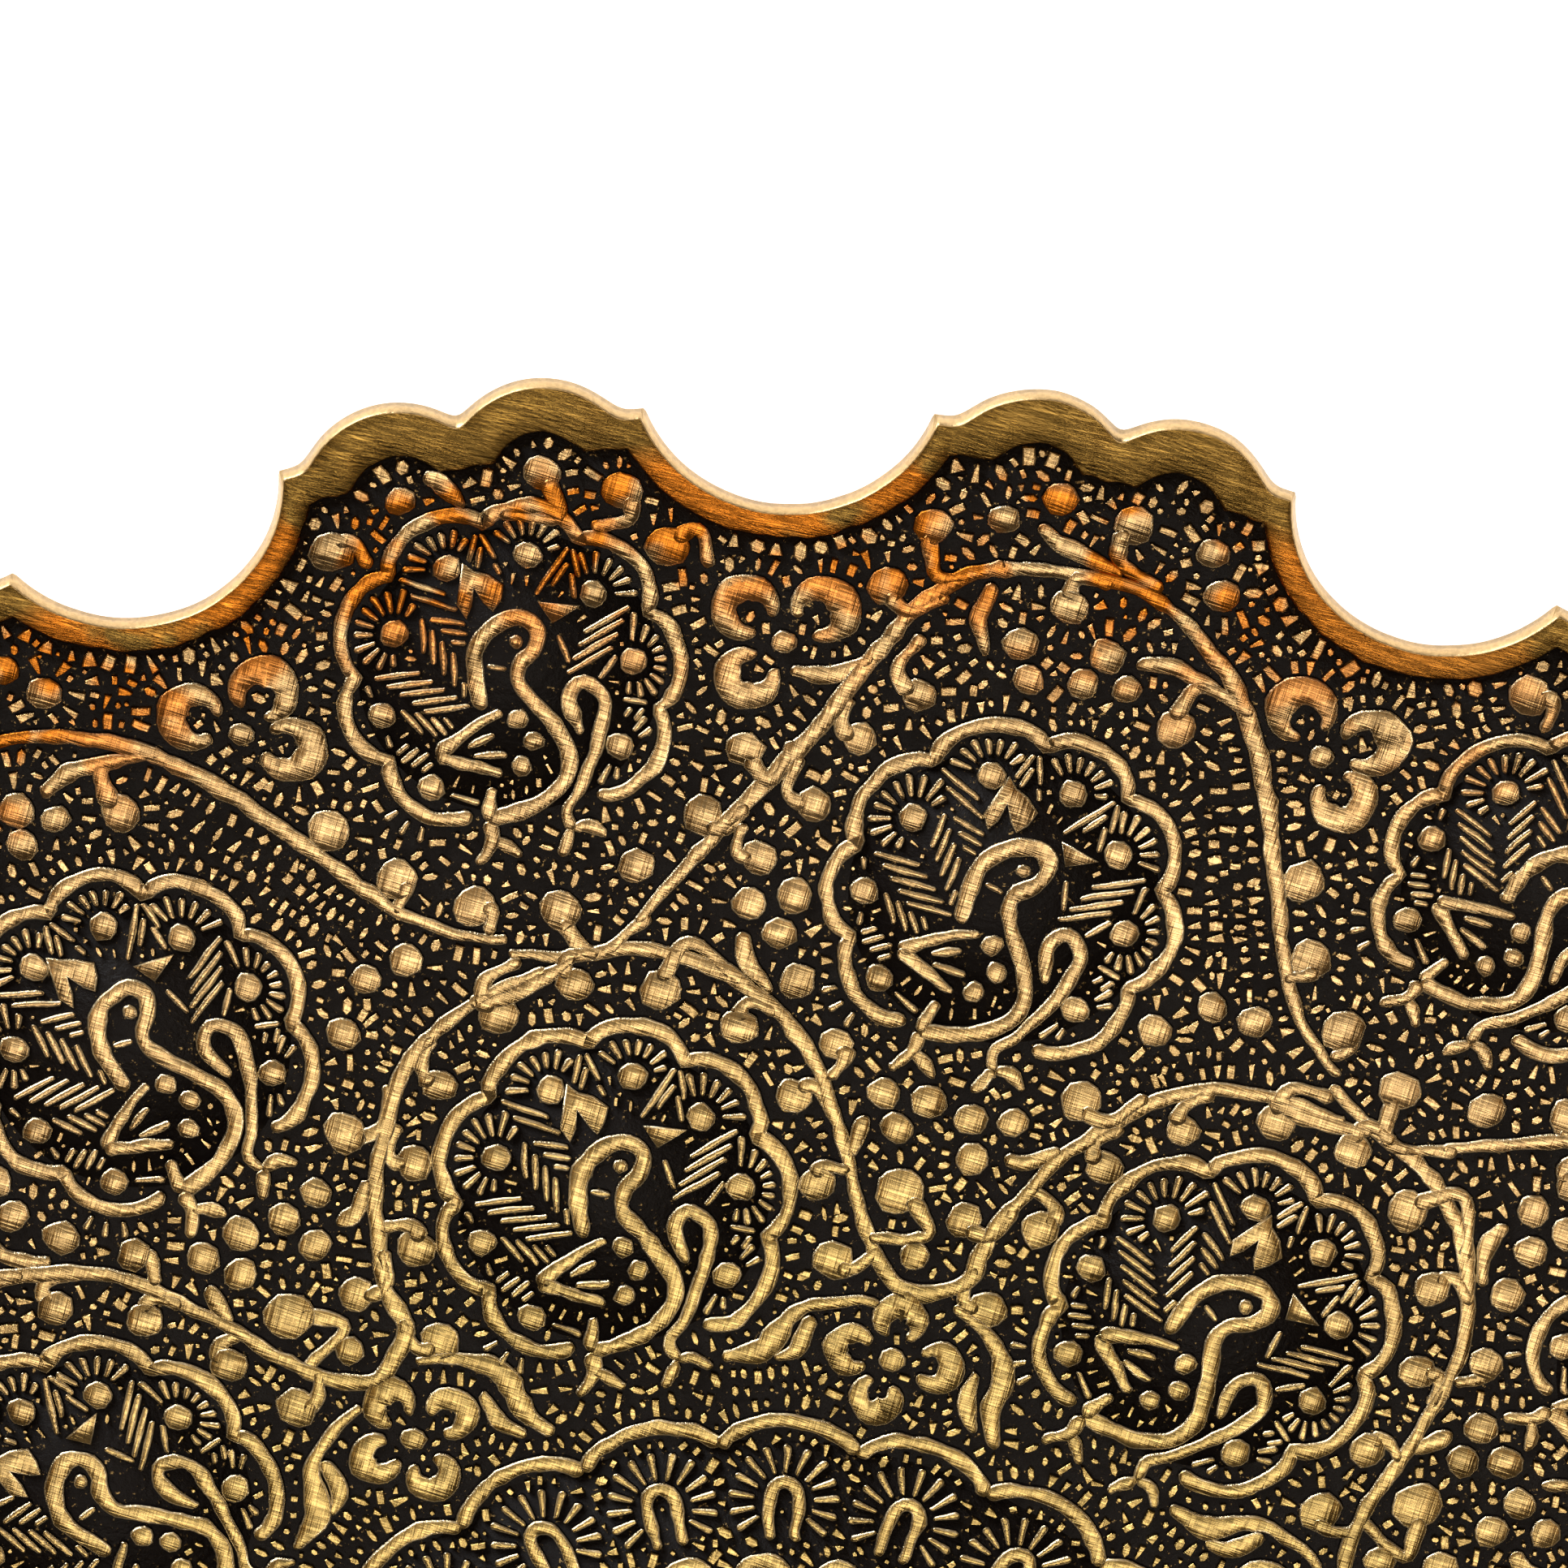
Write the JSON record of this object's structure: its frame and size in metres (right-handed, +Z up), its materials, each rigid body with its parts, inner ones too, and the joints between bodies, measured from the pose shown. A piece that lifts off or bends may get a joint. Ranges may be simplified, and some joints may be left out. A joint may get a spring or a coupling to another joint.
{
  "type": "engraved brass tray",
  "caption": "Round, gently dished brass tray with a scalloped edge, raised peacock roundels, vines and a central rosette over a black lacquered ground.",
  "frame": {"origin": "middle of the flat base, on the surface that the tray stands on", "axes": "+Z up, along the axis of the tray; a notch of the edge lies on +Y, and another on +X"},
  "size_m": [0.2472, 0.2472, 0.0068],
  "materials": {
    "sheet": "brushed",
    "relief": "polished, with cross-hatched scratches",
    "lacquer": "semi-gloss black lacquer"
  },
  "bodies": {
    "root": {"tray_floor": "sheet", "tray_side": "sheet", "rim_border": "sheet", "outer_roundel_frames": "relief", "middle_roundel_frames": "relief", "inner_roundel_frames": "relief", "outer_peacocks": "relief", "middle_peacocks": "relief", "inner_peacocks": "relief", "vine_stems": "relief", "berries": "relief", "outer_flowers": "relief", "inner_flowers": "relief", "rosette_frame": "relief", "rosette_petals": "relief", "centre_boss": "relief", "field_lacquer": "lacquer", "outer_roundel_lacquer": "lacquer", "middle_roundel_lacquer": "lacquer", "inner_roundel_lacquer": "lacquer", "rosette_lacquer": "lacquer"}
  },
  "joints": []
}
